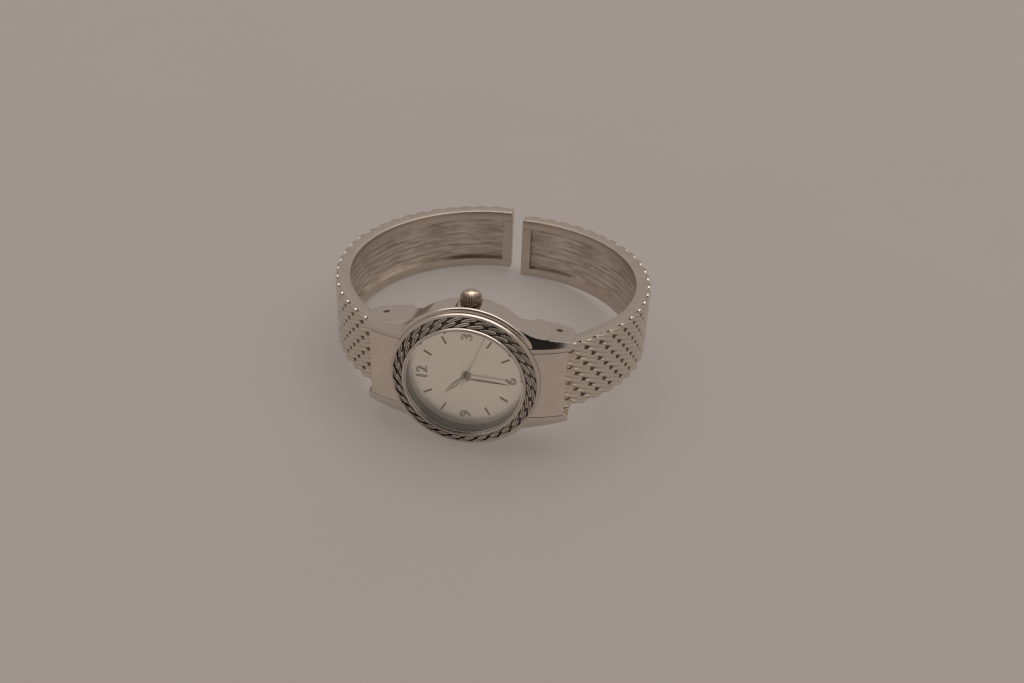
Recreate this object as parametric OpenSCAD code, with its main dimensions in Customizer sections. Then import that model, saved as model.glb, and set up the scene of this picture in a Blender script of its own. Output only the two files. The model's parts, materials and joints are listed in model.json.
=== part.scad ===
// Cuff watch: a small round quartz watch head on two spring-hinged rigid arms.
// It is drawn dial up: +z out of the dial, 12 o'clock at -x, 6 o'clock at +x, crown at +y.
// Depths are behind z = 0, a plane just below the bezel's outer edge.
// lay_on_side() then lays it on its 9 o'clock side, as it rests on a table.

/* [Case] */
// Diameter of the widest bead round the front of the case
rim_d = 29.4; // [29:0.1:30]
// Radius of that bead in section
rim_bead_r = 0.45; // [0.35:0.05:0.6]
// Diameter of the case body at its back
flank_foot_d = 25.2; // [24.8:0.1:26.4]
// Depth of the case body
case_depth = 8.9; // [8.6:0.1:9.6]
// Diameter of the bore that holds the movement
case_bore_d = 22.8; // [22.4:0.1:23]
// Outer width across a pair of lugs
lug_span = 19; // [18:0.1:20]
// Clear width between the two lugs of a pair
lug_gap = 14; // [13:0.1:15]
// Distance from the dial centre to a lug's tip
lug_reach = 19.1; // [18.8:0.1:20]
// Depth of the lugs at their back
lug_depth = 9.25; // [9.1:0.05:9.8]
// Radius of the hollow that blends the round case into a lug
flank_fillet_r = 10; // [6:0.5:12]
// Thickness of the smooth plates that bridge the lugs
hood_t = 1; // [0.7:0.1:1.3]

/* [Bezel and glass] */
// Outer diameter of the bezel
bezel_d = 28; // [27.6:0.1:28.4]
// Clear diameter of the window
window_d = 22.1; // [21:0.1:22.4]
// Height of the bezel's inner rim above z = 0
bezel_rise = 1.7; // [1.5:0.1:2.2]
// Height of the bezel's outer edge above z = 0
bezel_edge = 0.3; // [0.1:0.05:0.5]
// Thickness of the glass at its centre
glass_t = 1.3; // [0.8:0.1:1.5]

/* [Dial and hands] */
// Depth of the dial's face
dial_depth = 1.6; // [1.5:0.1:1.8]
// Thickness of the dial
dial_t = 0.4; // [0.3:0.05:0.5]
// Radius of the circle on which the hour marks stand
mark_circle_r = 8.34; // [7.8:0.05:8.8]
// Length of an hour bar
mark_l = 1.7; // [1:0.1:2]
// Clock angle of the hour hand
hour_angle = 315.2; // [0:0.1:359.9]
// Clock angle of the minute hand
minute_angle = 182.5; // [0:0.1:359.9]
// Clock angle of the second hand
second_angle = 111; // [0:0.1:359.9]
// Length of the hour hand from the centre
hour_hand_l = 5.6; // [4.5:0.1:6.5]
// Length of the minute hand from the centre
minute_hand_l = 8.2; // [7:0.1:9]
// Length of the second hand from the centre
second_hand_l = 9.7; // [8:0.1:10]

/* [Cuff arms] */
// Inner width of the cuff, from side to side
cuff_inner_w = 58.2; // [54:0.2:66]
// Depth of the cuff's widest place
cuff_mid_depth = 30.5; // [29:0.1:34]
// Thickness of an arm, with its woven relief
arm_t = 3.1; // [2.6:0.1:3.6]
// Width of an arm
arm_w = 13.8; // [12.4:0.1:13.8]
// Gap between the two arm ends at the back
end_gap = 2.45; // [1.5:0.05:4]
// Shift of that gap from the middle towards 6 o'clock
gap_shift = 0.72; // [0:0.02:1]
// Sideways lean of each arm that the hinge play allows, in degrees
arm_lean = 0.9; // [0:0.1:1]
// Depth of the recess in the inner face of an arm
recess_depth = 1; // [0.6:0.1:1.3]
// Width of the border round that recess
recess_border = 2; // [1.5:0.1:3]
// Rows of links across an arm
weave_rows = 8; // [6:1:10]
// Distance from link to link along a row
link_pitch = 3.57; // [3:0.01:5]
// Height of the links above the ground between them
link_h = 0.6; // [0.3:0.05:0.8]

/* [Hinges] */
// Distance of a hinge pin from the lug's tip
pin_to_tip = 2.84; // [2.6:0.02:3]
// Distance of a hinge pin from the inner face of its arm
pin_inset = 0.43; // [0.2:0.01:0.8]
// Depth of a hinge pin
pin_depth = 6.6; // [6.4:0.05:6.8]
// Diameter of a hinge pin
pin_d = 1.2; // [1:0.05:1.4]
// Outer diameter of an arm's knuckle
knuckle_d = 3.8; // [3.4:0.1:4]
// Radial clearance between pin and knuckle
pin_clear = 0.05; // [0.03:0.01:0.08]
// Diameter of the wire of a hinge spring
spring_wire_d = 0.4; // [0.3:0.05:0.45]

/* [Crown] */
// Diameter of the crown
crown_d = 4; // [3.6:0.1:4.4]
// Height of the crown from its foot to the top of its dome
crown_h = 2.4; // [2.3:0.1:3.2]
// Depth of the stem's axis
stem_depth = 4.95; // [4.9:0.05:5]
// Diameter of the stem
stem_d = 0.9; // [0.8:0.05:1]
// How far the crown pulls out to set the hands
crown_pull = 0.9; // [0.6:0.1:1]
// Number of flutes round the crown
crown_flutes = 28; // [20:1:36]

/* [Movement] */
// Diameter of the movement's main plate
movement_d = 19.6; // [19.6:0.1:20]
// Depth of the back face of the main plate
movement_back = 5.6; // [5.6:0.05:5.8]
// Diameter of the button cell
battery_d = 6.8; // [6.4:0.1:6.9]
// Height of the button cell
battery_h = 2.15; // [1.6:0.05:2.15]
// Thickness of the case back
back_t = 0.9; // [0.7:0.1:1.1]

/* [Rest pose] */
// How far the dial axis leans back when the watch lies on its side, in degrees
rest_tilt = 6.886; // [5:0.001:8]
// How far the watch rolls over towards its 12 o'clock arm, in degrees
rest_roll = -5.851; // [-8:0.001:8]
// Sideways shift that centres it over the origin
rest_shift_x = -0.37; // [-4:0.01:4]
// Shift towards its dial that centres it over the origin
rest_shift_y = 0.15; // [-4:0.01:4]

/* [Hidden] */
$fn = 96;
eps = 0.01;
fit_gap = 0.01;

steel = [0.78, 0.77, 0.75];
polished = [0.86, 0.85, 0.83];
brass = [0.8, 0.68, 0.42];
plastic = [0.25, 0.27, 0.3];
rubber = [0.12, 0.12, 0.12];

// Case
rim_r = rim_d/2;
rim_z = -0.7;
rim_centre_r = rim_r - rim_bead_r;
foot_r = flank_foot_d/2;
bore_r = case_bore_d/2;
seat_z = rim_z + rim_bead_r;
back_seat_r = bore_r + 0.5;
back_seat_z = -case_depth + 1.1;
lug_y = lug_span/2;
lug_taper = 0.8;
lug_lean = 3.4;
gap_y = lug_gap/2;
lug_front_x = lug_reach - 0.8;
lug_tip_r = 1.5;
pin_x = lug_reach - pin_to_tip;
flank_r = rim_r - 0.12;
flank_z = rim_z - 0.25;
flank_slope = 0.125;
narrow_z = -case_depth + 3;
fillet_x = sqrt(pow(flank_r + flank_fillet_r, 2) - pow(lug_y + flank_fillet_r, 2));
lug_root_x = fillet_x - 4;
shoulder_slope = 25;
shoulder_drop = 0.8;
hood_arc_r = 21.3;
hood_arc_x = 8.42;
hood_top_z = 0.1;
hood_seam = 0.12;
hood_end_x = lug_front_x + 0.1;

// Bezel and glass
bezel_r = bezel_d/2;
window_r = window_d/2;
glass_r = window_r - 0.06;
glass_seat_r = window_r + 0.44;
glass_lip_z = bezel_rise - 0.5;
glass_back_z = bezel_rise - 0.1 - glass_t;
chain_in_r = window_r + 0.55;
chain_out_r = bezel_r - 0.6;

// Dial
dial_z = -dial_depth;
dial_back_z = dial_z - dial_t;
dial_r = bore_r - 0.05;
dial_ring_in_r = window_r - 0.3;
dial_foot_dirs = [25, 205];
dial_foot_at = 8.6;
dial_foot_r = 0.35;
dial_foot_l = 1.4;

// Levels of the undersides of the hands
hour_hand_z = dial_z + 0.35;
minute_hand_z = dial_z + 0.75;
second_hand_z = dial_z + 1.15;
hand_t = 0.12;

// Train: teeth and modules of the wheels, and where they turn
pinion_leaves = 8;
rotor_leaves = 6;
intermediate_teeth = 36;
seconds_teeth = 40;
third_teeth = 60;
centre_teeth = 64;
cannon_leaves = 12;
minute_teeth = 36;
minute_leaves = 10;
hour_teeth = 40;
setting_teeth = 20;
fast_mod = 0.09;
third_mod = 0.08;
cannon_mod = 0.1;
third_dist = (pinion_leaves + third_teeth)/2*third_mod;
centre_mod = 2*third_dist/(pinion_leaves + centre_teeth);
inter_dist = (pinion_leaves + seconds_teeth)/2*fast_mod;
rotor_dist = (rotor_leaves + intermediate_teeth)/2*fast_mod;
minute_dist = (cannon_leaves + minute_teeth)/2*cannon_mod;
hour_mod = 2*minute_dist/(minute_leaves + hour_teeth);
setting_dist = (minute_teeth + setting_teeth)/2*cannon_mod;
third_dir = 150;
inter_dir = -30;
rotor_dir = -60;
minute_dir = 60;
setting_dir = 118;
third_at = third_dist*[cos(third_dir), sin(third_dir)];
inter_at = inter_dist*[cos(inter_dir), sin(inter_dir)];
rotor_at = inter_at + rotor_dist*[cos(rotor_dir), sin(rotor_dir)];
minute_at = minute_dist*[cos(minute_dir), sin(minute_dir)];
setting_at = minute_at + setting_dist*[cos(setting_dir), sin(setting_dir)];
wheel_t = 0.2;
arbor_r = 0.15;
pivot_r = 0.1;
pivot_hole_r = 0.15;
seconds_arbor_r = 0.15;
centre_tube_in_r = 0.21;
centre_tube_out_r = 0.36;
hour_tube_in_r = 0.42;
hour_tube_out_r = 0.62;

// Levels in the movement, from the dial side to the back
plate_front_z = dial_back_z - 0.9;
train_floor_z = plate_front_z - 1;
plate_back_z = -movement_back;
bridge_t = 0.4;
hour_wheel_z = dial_back_z - 0.35;
minute_leaf_z = dial_back_z - 0.4;
minute_wheel_z = dial_back_z - 0.7;
centre_wheel_z = train_floor_z - 0.4;
third_wheel_z = centre_wheel_z - 0.4;
seconds_wheel_z = third_wheel_z - 0.25;
inter_wheel_z = seconds_wheel_z - 0.25;
battery_at = [-3.5, -5.15];
battery_front_z = plate_back_z - 0.05 + battery_h;
coil_dir = 55;
coil_at = [5.5, -3.9];
coil_l = 5.4;
coil_r = 1;
coil_core_l = coil_l + 0.2;
coil_reach = coil_l/2 + 0.55;
coil_z = plate_back_z + 1.2;
quartz_at = [5.9, 3.4];
board_at = [5.2, 3.6];
lever_at = [-2, 8.45];
clamp_foot = [-7.6, 0.9];
lever_z = plate_back_z;

// Crown and stem
crown_r = crown_d/2;
stem_r = stem_d/2;
stem_z = -stem_depth;
crown_recess = 0.6;
crown_seat_y = body_r(stem_z) - crown_recess;
crown_foot_y = crown_seat_y + 0.15;
crown_dome_r = crown_r*1.8;
crown_cup_depth = 1.25;
stem_socket = crown_h - 0.5;
tube_r = 1.1;
groove_y = 8;
square_w = 0.62;
pinion_y = 5;
pinion_l = 1.3;
pinion_r = 1;

// Cuff arms: each inner face is one arc, from the arm's end round to its hinge. Its centre lies
// off the dial's centre line by as much as makes the arc pass the pin at pin_inset
arm_to_pin = cuff_inner_w/2 + pin_inset;
pin_rise = cuff_mid_depth - pin_depth;
arm_offset = (pow(arm_to_pin, 2) - pow(pin_x, 2) - pow(pin_rise, 2))/(2*(arm_to_pin - pin_x));
arm_r = cuff_inner_w/2 - arm_offset;
knuckle_r = knuckle_d/2;
hinge_dir = 90 + atan2(pin_rise, pin_x - arm_offset);
recess_to_hinge = 14;
ground_t = arm_t - link_h;
weave_top = arm_r + arm_t - 0.06;
link_turn = link_pitch/weave_top*180/PI;
spring_turns = 5;
spring_coil_r = pin_d/2 + 0.15 + spring_wire_d/2;
spring_pitch = spring_wire_d + 0.12;
spring_slot_w = spring_turns*spring_pitch + spring_wire_d + 0.5;
spring_leg_up = 4.2;
spring_leg_down = 3.8;

// Case back
back_r_out = back_seat_r - 0.02;
back_z = -case_depth;
back_proud = 0.45;
back_gasket_t = 0.32;

// Lays the drawing on its side and sets it on the floor, centred over the origin
front_y = -(bezel_rise*cos(rest_tilt) + (window_r + 0.5)*sin(rest_tilt));
back_end_y = (cuff_mid_depth + arm_r + arm_t)*cos(rest_tilt)
    + (arm_w/2 + arm_lean/57.3*(cuff_mid_depth + arm_r - pin_depth))*sin(rest_tilt);
axis_z = sin(rest_tilt)*cos(rest_roll);
rest_lift = rim_centre_r*sqrt(1 - axis_z*axis_z) + rim_bead_r - rim_z*axis_z;

module lay_on_side() {
    translate([rest_shift_x, rest_shift_y - (front_y + back_end_y)/2, rest_lift])
        rotate([0, rest_roll, 0])
        rotate([90 - rest_tilt, 0, 0])
        children();
}

// side is -1 for the 12 o'clock side and 1 for the 6 o'clock side
module on_side(side) {
    mirror([side < 0 ? 1 : 0, 0, 0]) children();
}

module ring(r_out, r_in, z0, z1) {
    translate([0, 0, z0]) difference() {
        cylinder(r = r_out, h = z1 - z0);
        translate([0, 0, -eps]) cylinder(r = r_in, h = z1 - z0 + 2*eps);
    }
}

module disc(r, z0, z1) {
    translate([0, 0, z0]) cylinder(r = r, h = z1 - z0);
}

module bar2d(p, q, w) {
    d = q - p;
    translate(p) rotate(atan2(d[1], d[0])) translate([0, -w/2]) square([norm(d), w]);
}

// Turns children so that their z axis lies along +y, at the stem's depth
module along_stem(y) {
    translate([0, y, stem_z]) rotate([-90, 0, 0]) children();
}

// Angle of a tooth on a wheel that meshes with another one, whose own tooth is at phase
function mate_phase(phase, teeth, dir, mate_teeth) =
    let (part = (dir - phase)*teeth/360)
    dir + 180 + (part - floor(part) + 0.5)*360/mate_teeth;

function clock_dir(a) = 180 - a;

module gear2d(teeth, mod, phase) {
    pitch_r = teeth*mod/2;
    root_r = pitch_r - 1.1*mod;
    tip_r = pitch_r + 0.85*mod;
    step = 360/teeth;
    polygon([for (i = [0:teeth - 1], p = [[-0.31, root_r], [-0.21, pitch_r], [-0.09, tip_r],
        [0.09, tip_r], [0.21, pitch_r], [0.31, root_r]])
        p[1]*[cos(phase + (i + p[0])*step), sin(phase + (i + p[0])*step)]]);
}

module gear(teeth, mod, phase, z, t) {
    translate([0, 0, z]) linear_extrude(t) gear2d(teeth, mod, phase);
}

// A wheel with round windows, where there is room for them
module spoked(teeth, mod, phase, z, t) {
    mid_r = teeth*mod/4 + 0.25;
    hole_r = teeth*mod/4 - 0.45;
    translate([0, 0, z]) linear_extrude(t) difference() {
        gear2d(teeth, mod, phase);
        for (a = [45:90:315]) rotate(a) translate([mid_r, 0]) circle(r = hole_r, $fn = 32);
    }
}

// Radius of the case body's side, which leans inwards towards the back
function body_r(z) = flank_r + flank_slope*(z - flank_z);

// The hollow that leads from the case body's side to a lug's, tangent to the side all the way back
module flank_fillet() {
    fillet_y = lug_y + flank_fillet_r;
    depth = case_depth + 1;
    difference() {
        translate([0, 0, flank_z - depth]) linear_extrude(depth + 2)
            polygon([[0, 0], [fillet_x, 0], [fillet_x, fillet_y]]);
        translate([fillet_x, fillet_y, flank_z - depth])
            cylinder(r1 = flank_fillet_r + flank_slope*depth, r2 = flank_fillet_r, h = depth, $fn = 120);
        translate([fillet_x, fillet_y, flank_z]) cylinder(r = flank_fillet_r, h = 4, $fn = 120);
    }
}

// The half of a pair of lugs on one side of the middle, with a side that leans and tapers
module lug_side() {
    rotate([-lug_lean, 0, 0]) translate([0, 0, -lug_depth - 2]) linear_extrude(lug_depth + 4)
        polygon([[5, -1], [lug_reach, -1], [lug_reach, lug_y - lug_taper],
            [lug_root_x, lug_y + lug_taper/2], [5, lug_y + lug_taper/2]]);
}

// Height of the hood plates' outer face, an arc in side view
function hood_z(x) = hood_top_z - hood_arc_r + sqrt(pow(hood_arc_r, 2) - pow(x - hood_arc_x, 2));

// Outline of a lug, seen from the side: its front lies flush with the hood plate
module lug_profile() {
    tip_x = lug_reach - lug_tip_r;
    tip_z = -lug_depth + lug_tip_r + 0.25;
    intersection() {
        polygon([[5, 1], [lug_reach, 1], [lug_reach, tip_z], [tip_x, tip_z],
            [tip_x, tip_z - lug_tip_r], [lug_root_x + 1, -lug_depth], [lug_root_x - 2, narrow_z],
            [5, narrow_z]]);
        translate([hood_arc_x, hood_top_z - hood_arc_r]) circle(r = hood_arc_r, $fn = 200);
    }
    translate([tip_x, tip_z]) circle(r = lug_tip_r);
}

// The sloping shoulder between a lug's flank and its front, dropping alike all along
module shoulder_cut() {
    top = lug_y*sin(shoulder_slope) + (hood_top_z - shoulder_drop)*cos(shoulder_slope);
    arc_r = hood_arc_r/cos(shoulder_slope);
    rotate([90 - shoulder_slope, 0, 0]) translate([hood_arc_x, top - arc_r, -lug_span])
        linear_extrude(lug_span) difference() {
            translate([0, arc_r/2]) square([lug_reach, lug_span]);
            circle(r = arc_r, $fn = 200);
        }
}

module lug_pair(side) {
    on_side(side) difference() {
        intersection() {
            for (s = [-1, 1]) mirror([0, s < 0 ? 1 : 0, 0]) {
                flank_fillet();
                lug_side();
            }
            translate([0, lug_y + 3, 0]) rotate([90, 0, 0])
                linear_extrude(lug_span + 6) lug_profile();
        }
        for (s = [-1, 1]) mirror([0, s < 0 ? 1 : 0, 0]) shoulder_cut();
        translate([foot_r - 1.2, -gap_y, -12]) cube([10, lug_gap, 14]);
        cylinder(r = foot_r - 0.5, h = 30, center = true);
    }
}

module mid_case() {
    color(polished) difference() {
        union() {
            rotate_extrude() {
                polygon([[bore_r - 1, -case_depth], [foot_r - 0.3, -case_depth],
                    [foot_r, -case_depth + 0.3], [body_r(narrow_z), narrow_z], [flank_r, flank_z],
                    [rim_centre_r, seat_z], [bore_r - 1, seat_z]]);
                translate([rim_centre_r, rim_z]) circle(r = rim_bead_r, $fn = 24);
            }
            lug_pair(-1);
            lug_pair(1);
        }
        disc(bore_r, -case_depth - 1, 3);
        disc(bezel_r + fit_gap, seat_z, 3);
        hood_seat(-1);
        hood_seat(1);
        disc(back_seat_r, -case_depth - 1, back_seat_z);
        for (s = [-1, 1]) translate([s*pin_x, 0, -pin_depth]) rotate([90, 0, 0])
            cylinder(r = pin_d/2 + 0.01, h = lug_span + 2, center = true);
        along_stem(bore_r - 2) cylinder(r = tube_r + 0.01, h = 6);
        crown_pocket();
    }
}

// Flat-floored pocket in the side of the case for the crown's foot, open towards the bead
module crown_pocket() {
    pocket_r = crown_r + 0.2;
    along_stem(crown_seat_y) cylinder(r = pocket_r, h = 4);
    translate([-pocket_r, crown_seat_y, stem_z]) cube([2*pocket_r, 4, rim_z - rim_bead_r - stem_z]);
}

// Room in the case for a hood plate's inner end, round the foot of the bezel
module hood_seat(side) {
    on_side(side) difference() {
        translate([0, -gap_y, hood_z(rim_r) - hood_t - 0.05]) cube([rim_r + 1, lug_gap, 4]);
        cylinder(r = bezel_r + fit_gap, h = 30, center = true);
    }
}

module bezel() {
    color(polished) rotate_extrude() polygon([
        [bore_r, seat_z], [bezel_r - 0.25, seat_z], [bezel_r, seat_z + 0.25],
        [bezel_r, bezel_edge], [bezel_r - 0.15, bezel_edge + 0.3],
        [chain_out_r + 0.1, bezel_edge + 0.4], [chain_out_r, bezel_edge + 0.35],
        [chain_out_r - 0.1, bezel_edge + 0.05], [chain_in_r + 0.1, bezel_rise - 0.7],
        [chain_in_r, bezel_rise - 0.32],
        [chain_in_r - 0.1, bezel_rise - 0.08], [window_r + 0.2, bezel_rise],
        [window_r, bezel_rise - 0.12], [window_r, glass_lip_z],
        [glass_seat_r, glass_lip_z], [glass_seat_r, glass_back_z - 0.25],
        [bore_r, glass_back_z - 0.25]]);
}

module crystal() {
    color([0.85, 0.93, 0.9, 0.35]) rotate_extrude() polygon([
        [0, glass_back_z], [glass_r, glass_back_z], [glass_r, bezel_rise - 0.35],
        [glass_r - 0.2, bezel_rise - 0.15], [glass_r*0.6, bezel_rise - 0.1], [0, bezel_rise - 0.1]]);
}

module crystal_gasket() {
    color(rubber) ring(glass_seat_r - 0.01, glass_r + 0.01, glass_back_z, glass_lip_z - 0.01);
}

module dial_ring() {
    color(steel) rotate_extrude() polygon([
        [dial_ring_in_r, dial_z], [bore_r - 0.1, dial_z], [bore_r - 0.1, glass_back_z - 0.02],
        [dial_ring_in_r + 0.1, glass_back_z - 0.02]]);
}

module dial() {
    color([0.82, 0.79, 0.72]) {
        ring(dial_r, hour_tube_out_r + 0.16, dial_back_z, dial_z);
        for (a = dial_foot_dirs) rotate(a) translate([dial_foot_at, 0, dial_back_z - dial_foot_l])
            cylinder(r = dial_foot_r, h = dial_foot_l + eps);
    }
}

module hour_markers() {
    color([0.45, 0.43, 0.4]) for (i = [0:11]) if (i % 3 != 0)
        rotate(clock_dir(i*30)) translate([mark_circle_r - mark_l/2, -0.15, dial_z])
            cube([mark_l, 0.3, 0.1]);
}

module hood_plate(side) {
    half_w = gap_y - hood_seam;
    color(polished) on_side(side) difference() {
        intersection() {
            translate([hood_arc_x, 0, hood_top_z - hood_arc_r]) rotate([90, 0, 0]) difference() {
                cylinder(r = hood_arc_r, h = 2*half_w, center = true, $fn = 200);
                cylinder(r = hood_arc_r - hood_t, h = 2*half_w + 1, center = true, $fn = 200);
            }
            translate([8, -half_w, -10]) cube([hood_end_x - 8, 2*half_w, 12]);
        }
        cylinder(r = bezel_r + 2*fit_gap, h = 30, center = true);
    }
}

module hinge_pin(side) {
    color(steel) translate([side*pin_x, 0, -pin_depth]) rotate([90, 0, 0])
        cylinder(r = pin_d/2, h = lug_span - 1.8, center = true);
}

// An unbroken round wire swept along a list of points that run round the y axis
module coil_wire(points, wire_r, sides) {
    n = len(points);
    rings = [for (i = [0:n - 1])
        let (a = points[max(i - 1, 0)], b = points[min(i + 1, n - 1)],
            t = (b - a)/norm(b - a), u0 = cross(t, [0, 1, 0]), u = u0/norm(u0), v = cross(t, u))
        [for (k = [0:sides - 1]) points[i] + wire_r*(cos(360*k/sides)*u + sin(360*k/sides)*v)]];
    skin = [for (i = [0:n - 2], k = [0:sides - 1])
        let (a = i*sides + k, b = i*sides + (k + 1)%sides)
        [a, a + sides, b + sides, b]];
    polyhedron([for (r = rings, p = r) p], concat([[for (k = [0:sides - 1]) k]], skin,
        [[for (k = [sides - 1:-1:0]) (n - 1)*sides + k]]));
}

// Torsion spring round the pin: one leg bears on the hood plate, the other on the arm
module hinge_spring(side) {
    from = 180;
    to = 360*spring_turns + 180 + hinge_dir - 90;
    count = round((to - from)/30);
    turns = [for (i = [0:count])
        let (a = from + (to - from)*i/count)
        [spring_coil_r*cos(a), spring_pitch*((a - from)/360 - spring_turns/2), spring_coil_r*sin(a)]];
    leg_up = turns[0] + [0, 0, spring_leg_up];
    leg_down = turns[count] + spring_leg_down*[-sin(to), 0, cos(to)];
    color(steel) translate([side*pin_x, 0, -pin_depth]) on_side(side)
        coil_wire(concat([leg_up], turns, [leg_down]), spring_wire_d/2, 8);
}

// A piece of the arm's band between two directions, measured from the cuff's back
module band(r_in, r_out, w, from, to) {
    far = (arm_r + r_out)*2.5;
    turn = to - from;
    translate([arm_offset, w/2, -cuff_mid_depth]) rotate([90, 0, 0])
        linear_extrude(w) rotate(-90 + from) intersection() {
            difference() {
                circle(r = arm_r + r_out, $fn = 240);
                circle(r = arm_r + r_in, $fn = 240);
            }
            polygon([[0, 0], [far, 0], far*[cos(turn/2), sin(turn/2)], far*[cos(turn), sin(turn)]]);
        }
}

// A link seen from outside, pointed at both ends and slanting across its row
module link_plan() {
    l = link_pitch + 0.3;
    w = arm_w/weave_rows*0.7;
    slant = 0.24*l;
    polygon([[-l/2, -slant/2], [-l/4, -w/2 - slant/4], [l/4, -w/2 + slant/4],
        [l/2, slant/2], [l/4, w/2 + slant/4], [-l/4, w/2 - slant/4]]);
}

// Rows of links on the outside of an arm, each row shifted by half a link
module weave(from, to) {
    row_w = arm_w/weave_rows;
    room = (to - from)/link_turn - 1.15;
    translate([arm_offset, 0, -cuff_mid_depth])
        for (row = [0:weave_rows - 1], i = [0:floor(room - (row % 2)/2)])
            rotate([0, -(to - (i + 0.6 + (row % 2)/2)*link_turn), 0])
            translate([0, (row + 0.5)*row_w - arm_w/2, -weave_top])
            linear_extrude(link_h + 0.1) link_plan();
}

module cuff_arm(side) {
    end_dir = asin((end_gap/2 + side*gap_shift - arm_offset)/(arm_r + arm_t/2));
    color(steel) on_side(side) translate([pin_x, 0, -pin_depth]) difference() {
        union() {
            rotate([90, 0, 0]) cylinder(r = knuckle_r, h = arm_w, center = true);
            rotate([-side*arm_lean, 0, 0]) translate([-pin_x, 0, pin_depth]) difference() {
                union() {
                    band(0, ground_t, arm_w, end_dir, hinge_dir);
                    weave(end_dir, hinge_dir);
                }
                band(-1, recess_depth, arm_w - 2*recess_border,
                    end_dir + recess_border/arm_r*180/PI, hinge_dir - recess_to_hinge);
            }
        }
        rotate([90, 0, 0]) cylinder(r = pin_d/2 + pin_clear, h = arm_w + 2, center = true);
        translate([-5, -spring_slot_w/2, -knuckle_r - 1])
            cube([5 + spring_coil_r + spring_wire_d, spring_slot_w, knuckle_r + 5]);
    }
}

module crown() {
    band_h = crown_h*0.7;
    color([0.84, 0.79, 0.68]) along_stem(crown_foot_y) difference() {
        rotate_extrude() intersection() {
            polygon([[0, 0], [crown_r - 0.12, 0], [crown_r, 0.15], [crown_r, band_h],
                [crown_r - 0.08, band_h + 0.1], [crown_r - 0.08, crown_h], [0, crown_h]]);
            translate([0, crown_h - crown_dome_r]) circle(r = crown_dome_r);
        }
        for (i = [0:crown_flutes - 1]) rotate(i*360/crown_flutes)
            translate([crown_r + 0.04, 0, -1]) cylinder(r = 0.17, h = band_h + 1.15, $fn = 16);
        translate([0, 0, crown_h + 0.05]) sphere(r = 0.3, $fn = 24);
        translate([0, 0, -eps]) cylinder(r = tube_r + 0.3, h = crown_cup_depth);
        translate([0, 0, -eps]) cylinder(r = stem_r + fit_gap, h = stem_socket);
    }
}

module crown_gasket() {
    color(rubber) along_stem(crown_foot_y + crown_cup_depth/2) rotate_extrude()
        translate([tube_r + 0.17, 0]) circle(r = 0.12, $fn = 32);
}

module crown_tube() {
    foot_y = bore_r - 0.3;
    color(steel) along_stem(foot_y) difference() {
        cylinder(r = tube_r, h = crown_foot_y + crown_cup_depth - 0.3 - foot_y);
        translate([0, 0, -1]) cylinder(r = stem_r + 0.06, h = 6);
    }
}

module stem() {
    square_from = pinion_y - crown_pull - 0.2;
    square_to = pinion_y + pinion_l + 0.4;
    stem_end = crown_foot_y + stem_socket - 0.05;
    color(steel) union() {
        translate([-square_w/2, square_from, stem_z - square_w/2])
            cube([square_w, square_to - square_from + eps, square_w]);
        along_stem(square_to) cylinder(r = stem_r, h = groove_y - 0.22 - square_to);
        along_stem(groove_y - 0.22 - eps) cylinder(r = stem_r - 0.17, h = 0.44 + 2*eps);
        along_stem(groove_y + 0.22) cylinder(r = stem_r, h = stem_end - groove_y - 0.22);
    }
}

module sliding_pinion() {
    bore_w = square_w + 0.1;
    color(steel) along_stem(pinion_y) difference() {
        union() {
            cylinder(r = 0.7, h = pinion_l);
            linear_extrude(0.45) gear2d(14, 2*(pinion_r - 0.1)/14, 0);
        }
        translate([-bore_w/2, -bore_w/2, -1]) cube([bore_w, bore_w, pinion_l + 2]);
    }
}

module setting_lever() {
    tip = [0.05, groove_y];
    color(steel) {
        translate([0, 0, lever_z]) linear_extrude(0.14) difference() {
            union() {
                translate(lever_at) circle(r = 0.6);
                bar2d(lever_at, tip, 0.5);
                translate(tip) circle(r = 0.25);
            }
            translate(lever_at) circle(r = 0.3);
        }
        translate([tip[0], tip[1], lever_z])
            cylinder(r = 0.13, h = stem_z - stem_r + 0.1 - lever_z);
    }
}

module hand(length, w_hub, w_mid, tail, z, angle, hub_r, hole_r) {
    translate([0, 0, z]) rotate(clock_dir(angle)) linear_extrude(hand_t) difference() {
        union() {
            polygon([[0, -w_hub/2], [length*0.45, -w_mid/2], [length, -0.04], [length, 0.04],
                [length*0.45, w_mid/2], [0, w_hub/2], [-tail, w_hub/2], [-tail, -w_hub/2]]);
            circle(r = hub_r);
        }
        circle(r = hole_r);
    }
}

module hour_hand() {
    color(polished) hand(hour_hand_l, 0.35, 0.95, 0.9, hour_hand_z, hour_angle, 0.95,
        hour_tube_out_r + 0.01);
}

module minute_hand() {
    color(polished) hand(minute_hand_l, 0.3, 0.8, 0.8, minute_hand_z, minute_angle, 0.7,
        centre_tube_out_r + 0.01);
}

module second_hand() {
    color(polished) {
        hand(second_hand_l, 0.14, 0.12, 2.2, second_hand_z, second_angle, 0.4, 0.01);
        disc(0.3, second_hand_z + hand_t - eps, second_hand_z + hand_t + 0.1);
    }
}

module hour_wheel() {
    color(brass) difference() {
        union() {
            gear(hour_teeth, hour_mod, mate_phase(0, minute_leaves, minute_dir + 180, hour_teeth),
                hour_wheel_z, wheel_t);
            disc(hour_tube_out_r, hour_wheel_z, hour_hand_z + hand_t);
        }
        disc(hour_tube_in_r, hour_wheel_z - 1, 1);
    }
}

module minute_wheel() {
    color(brass) translate([minute_at[0], minute_at[1], 0]) difference() {
        union() {
            gear(minute_teeth, cannon_mod, mate_phase(0, cannon_leaves, minute_dir, minute_teeth),
                minute_wheel_z, wheel_t);
            gear(minute_leaves, hour_mod, 0, minute_wheel_z, minute_leaf_z - minute_wheel_z + 0.25);
        }
        disc(0.2, minute_wheel_z - 1, 0);
    }
}

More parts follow.
